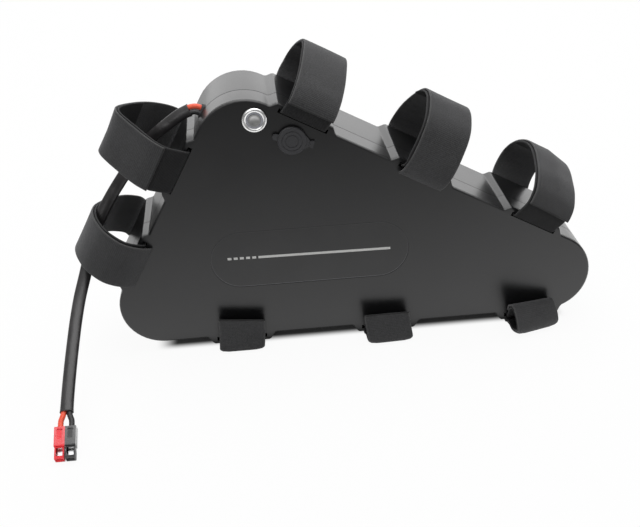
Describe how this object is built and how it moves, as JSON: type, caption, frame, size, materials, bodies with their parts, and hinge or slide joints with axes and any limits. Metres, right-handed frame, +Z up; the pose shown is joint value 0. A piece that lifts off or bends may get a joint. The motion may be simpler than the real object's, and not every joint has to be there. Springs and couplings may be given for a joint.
{
  "type": "triangle e-bike battery",
  "caption": "Black moulded triangular e-bike battery with hook-and-loop frame straps, push switch, capped charge socket and a two-wire output lead with snap-together connectors.",
  "frame": {"origin": "centre of the footprint, on the surface that the base straps stand on", "axes": "+X from the foot to the nose of the base, +Y from the switch face to the back, +Z up"},
  "size_m": [0.437, 0.2268, 0.2461],
  "materials": {
    "case_plastic": "fine satin, moulded ABS",
    "label_film": "matte film",
    "hook_tape": "woven, small moulded hooks",
    "loop_tape": "brushed loop pile",
    "switch_metal": "satin",
    "switch_lens": "clear satin",
    "black_rubber": "matte",
    "black_plastic": "satin",
    "brass": "machined",
    "screw_steel": "zinc plated",
    "nickel": "cold rolled",
    "red_silicone": "satin",
    "black_silicone": "satin",
    "heat_shrink": "satin, shrunk",
    "red_housing": "satin polycarbonate",
    "black_housing": "satin polycarbonate",
    "contact_plate": "silver plated",
    "cell_wrap": "shrink wrapped can",
    "holder_plastic": "satin",
    "foam": "closed cell foam",
    "circuit_board": "solder mask",
    "chip_plastic": "satin",
    "aluminium": "mill finish",
    "fuse_plastic": "clear orange",
    "lead_red": "satin",
    "lead_blue": "satin"
  },
  "bodies": {
    "case": {"front_cover": "case_plastic", "rear_shell": "case_plastic", "case_seal": "black_rubber", "case_screws": "screw_steel", "screw_inserts": "brass", "label_plate": "label_film", "left_lower_hook_tape": "hook_tape", "left_lower_loop_tape": "loop_tape", "left_upper_hook_tape": "hook_tape", "left_upper_loop_tape": "loop_tape", "top_first_hook_tape": "hook_tape", "top_first_loop_tape": "loop_tape", "top_middle_hook_tape": "hook_tape", "top_middle_loop_tape": "loop_tape", "top_last_hook_tape": "hook_tape", "top_last_loop_tape": "loop_tape", "base_last_hook_tape": "hook_tape", "base_last_loop_tape": "loop_tape", "base_middle_hook_tape": "hook_tape", "base_middle_loop_tape": "loop_tape", "base_first_hook_tape": "hook_tape", "base_first_loop_tape": "loop_tape", "switch_body": "switch_metal", "switch_light_ring": "switch_lens", "switch_seal": "black_rubber", "switch_nut": "screw_steel", "switch_base": "black_plastic", "charge_socket": "black_plastic", "charge_pin": "brass", "charge_nut": "screw_steel", "cap_anchor": "black_rubber", "wire_grommet": "black_rubber", "red_wire": "red_silicone", "black_wire": "black_silicone", "cable_sleeve": "heat_shrink", "red_connector": "red_housing", "black_connector": "black_housing", "connector_contacts": "contact_plate", "cells": "cell_wrap", "front_cell_holder": "holder_plastic", "rear_cell_holder": "holder_plastic", "front_nickel_strips": "nickel", "rear_nickel_strips": "nickel", "front_foam": "foam", "rear_foam": "foam", "board_foam": "foam", "protection_board": "circuit_board", "board_parts": "chip_plastic", "heat_plate": "aluminium", "main_fuse": "fuse_plastic", "inner_leads": "lead_red", "switch_leads": "lead_blue", "charge_leads": "lead_red"},
    "button": {"power_button": "switch_metal"},
    "cap": {"charge_cap": "black_rubber"}
  },
  "joints": [
    {"name": "button_press", "type": "slide", "parent": "case", "child": "button", "axis": [0, 1, 0], "range_m": [0, 0.002], "stiffness_N_per_m": 600},
    {"name": "cap_hinge", "type": "hinge", "parent": "case", "child": "cap", "pos_m": [-0.01873, -0.03867, 0.17905], "axis": [0.2756, 0, 0.9613], "range_deg": [0, 145]}
  ]
}
